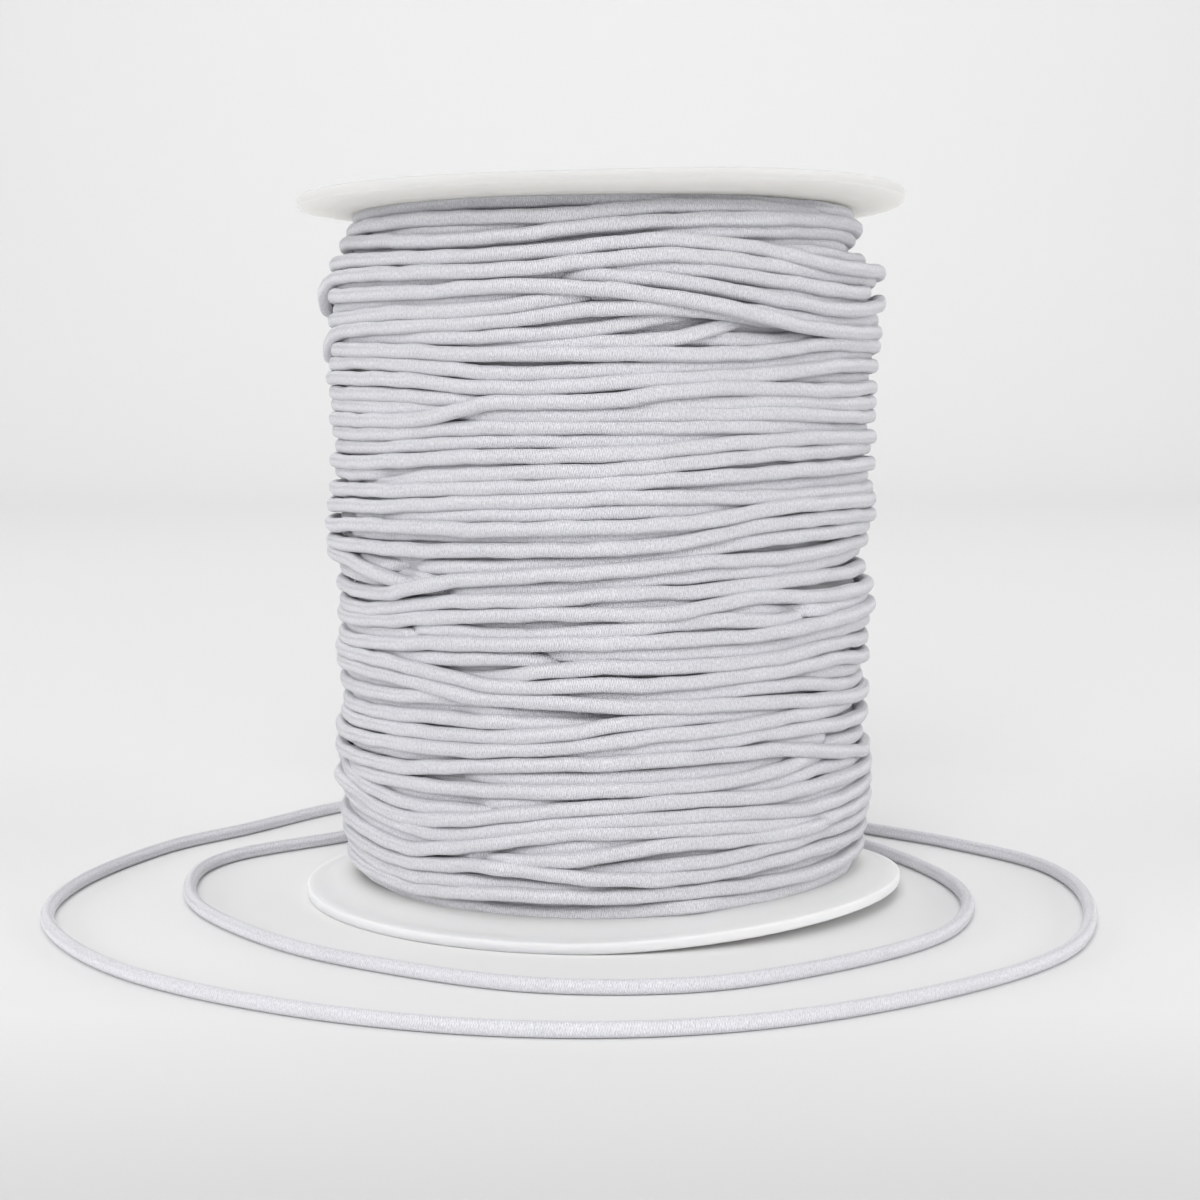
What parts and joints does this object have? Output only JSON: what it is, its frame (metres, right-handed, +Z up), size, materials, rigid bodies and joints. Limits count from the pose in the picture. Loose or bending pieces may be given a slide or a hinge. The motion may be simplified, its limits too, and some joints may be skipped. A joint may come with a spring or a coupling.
{
  "type": "roll of elastic",
  "caption": "Flanged spool wound with round white elastic cord, standing upright, with its loose end lying round it in two open loops.",
  "frame": {"origin": "on the surface the spool stands on, under the middle of the lower flange", "axes": "+Z up along the spool's axis; the front, as pictured, is -Y and +X is to its right"},
  "size_m": [0.1466, 0.1534, 0.1],
  "materials": {
    "spool_plastic": "thin white moulded plastic, slightly warm and satin, with a soft rounded rim",
    "elastic": "white round elastic with a fine braided cover, matt with a faint cool sheen"
  },
  "bodies": {
    "root": {"flange_bottom": "spool_plastic", "flange_top": "spool_plastic", "elastic_roll": "elastic", "loose_end": "elastic"}
  },
  "joints": []
}
